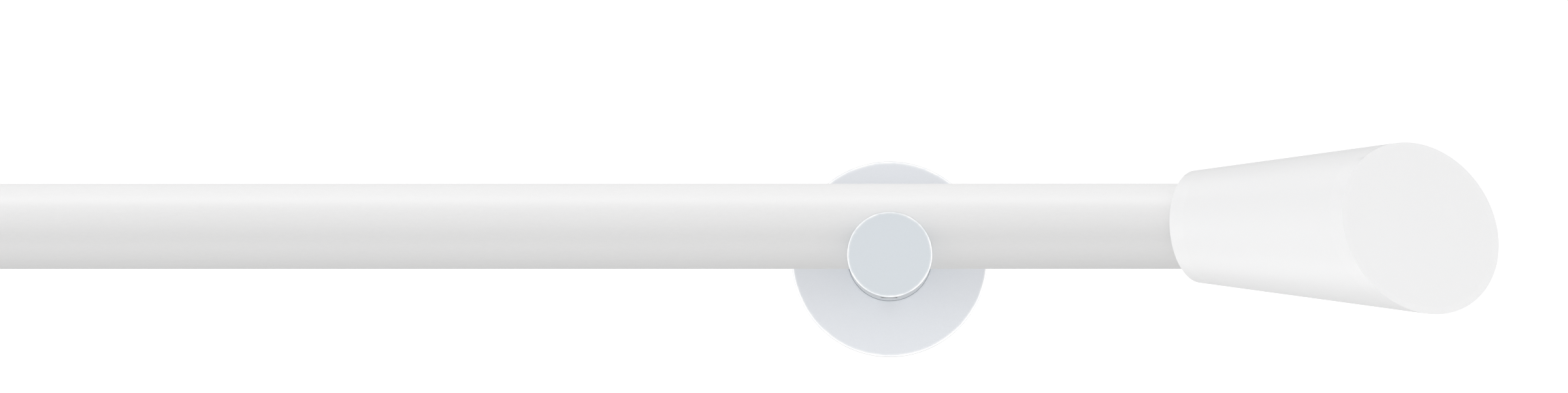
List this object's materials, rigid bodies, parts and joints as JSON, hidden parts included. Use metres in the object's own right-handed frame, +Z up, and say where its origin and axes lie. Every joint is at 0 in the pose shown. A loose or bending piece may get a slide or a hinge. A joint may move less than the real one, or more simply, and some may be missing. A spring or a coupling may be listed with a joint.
{
  "type": "curtain rod with brackets",
  "caption": "Round curtain rod with tapered, slant-cut finials, lying in saddle arms that stand off the wall on rosette-covered plates.",
  "frame": {"origin": "on the wall's surface, midway between the brackets and at the height of the arms' axes", "axes": "+X along the rod, +Y into the wall, +Z up"},
  "size_m": [0.7046, 0.1337, 0.05],
  "materials": {
    "white_powder_coat": "satin powder coat with a fine grain",
    "white_lacquer": "smooth white gloss lacquer over aluminium",
    "satin_aluminium": "fine satin, cool silver",
    "zinc_plated_steel": "bright zinc plate",
    "dark_steel": "blackened hardened steel",
    "grey_plug_nylon": "grey moulded nylon",
    "natural_nylon": "natural nylon"
  },
  "bodies": {
    "wall_fixings": {"left_wall_plate": "zinc_plated_steel", "left_upper_wall_screw": "zinc_plated_steel", "left_lower_wall_screw": "zinc_plated_steel", "left_upper_wall_plug": "grey_plug_nylon", "left_lower_wall_plug": "grey_plug_nylon", "left_arm": "satin_aluminium", "right_wall_plate": "zinc_plated_steel", "right_upper_wall_screw": "zinc_plated_steel", "right_lower_wall_screw": "zinc_plated_steel", "right_upper_wall_plug": "grey_plug_nylon", "right_lower_wall_plug": "grey_plug_nylon", "right_arm": "satin_aluminium"},
    "rod": {"rod_tube": "white_powder_coat"},
    "left_rosette": {"left_rosette": "satin_aluminium"},
    "left_arm_screw": {"left_arm_set_screw": "dark_steel"},
    "left_pad": {"left_pressure_pad": "natural_nylon"},
    "left_rod_screw": {"left_rod_set_screw": "dark_steel"},
    "left_finial": {"left_finial": "white_lacquer"},
    "left_finial_screw": {"left_finial_set_screw": "dark_steel"},
    "right_rosette": {"right_rosette": "satin_aluminium"},
    "right_arm_screw": {"right_arm_set_screw": "dark_steel"},
    "right_pad": {"right_pressure_pad": "natural_nylon"},
    "right_rod_screw": {"right_rod_set_screw": "dark_steel"},
    "right_finial": {"right_finial": "white_lacquer"},
    "right_finial_screw": {"right_finial_set_screw": "dark_steel"}
  },
  "joints": [
    {"name": "rod_lift", "type": "slide", "parent": "wall_fixings", "child": "rod", "axis": [0, 0, 1], "range_m": [0, 0.028]},
    {"name": "left_rosette_slide", "type": "slide", "parent": "wall_fixings", "child": "left_rosette", "axis": [0, -1, 0], "range_m": [0, 0.045]},
    {"name": "left_arm_screw_travel", "type": "slide", "parent": "wall_fixings", "child": "left_arm_screw", "axis": [0, 0, -1], "range_m": [0, 0.0025]},
    {"name": "left_pad_travel", "type": "slide", "parent": "wall_fixings", "child": "left_pad", "axis": [0, 0, -1], "range_m": [0, 0.002]},
    {"name": "left_rod_screw_turn", "type": "hinge", "parent": "left_pad", "child": "left_rod_screw", "pos_m": [-0.2087, -0.08, -0.0065], "axis": [0, 0, -1], "range_deg": [0, 900]},
    {"name": "left_finial_pull", "type": "slide", "parent": "rod", "child": "left_finial", "axis": [-1, 0, 0], "range_m": [0, 0.03]},
    {"name": "left_finial_screw_travel", "type": "slide", "parent": "left_finial", "child": "left_finial_screw", "axis": [0, 0.9848, -0.1736], "range_m": [0, 0.0025]},
    {"name": "right_rosette_slide", "type": "slide", "parent": "wall_fixings", "child": "right_rosette", "axis": [0, -1, 0], "range_m": [0, 0.045]},
    {"name": "right_arm_screw_travel", "type": "slide", "parent": "wall_fixings", "child": "right_arm_screw", "axis": [0, 0, -1], "range_m": [0, 0.0025]},
    {"name": "right_pad_travel", "type": "slide", "parent": "wall_fixings", "child": "right_pad", "axis": [0, 0, -1], "range_m": [0, 0.002]},
    {"name": "right_rod_screw_turn", "type": "hinge", "parent": "right_pad", "child": "right_rod_screw", "pos_m": [0.2087, -0.08, -0.0065], "axis": [0, 0, -1], "range_deg": [0, 900]},
    {"name": "right_finial_pull", "type": "slide", "parent": "rod", "child": "right_finial", "axis": [1, 0, 0], "range_m": [0, 0.03]},
    {"name": "right_finial_screw_travel", "type": "slide", "parent": "right_finial", "child": "right_finial_screw", "axis": [0, 0.9848, -0.1736], "range_m": [0, 0.0025]}
  ],
  "couplings": [
    {"joint": "left_rod_screw_turn", "follows": "left_pad_travel", "rad_per_m": 7854},
    {"joint": "right_rod_screw_turn", "follows": "right_pad_travel", "rad_per_m": 7854}
  ]
}
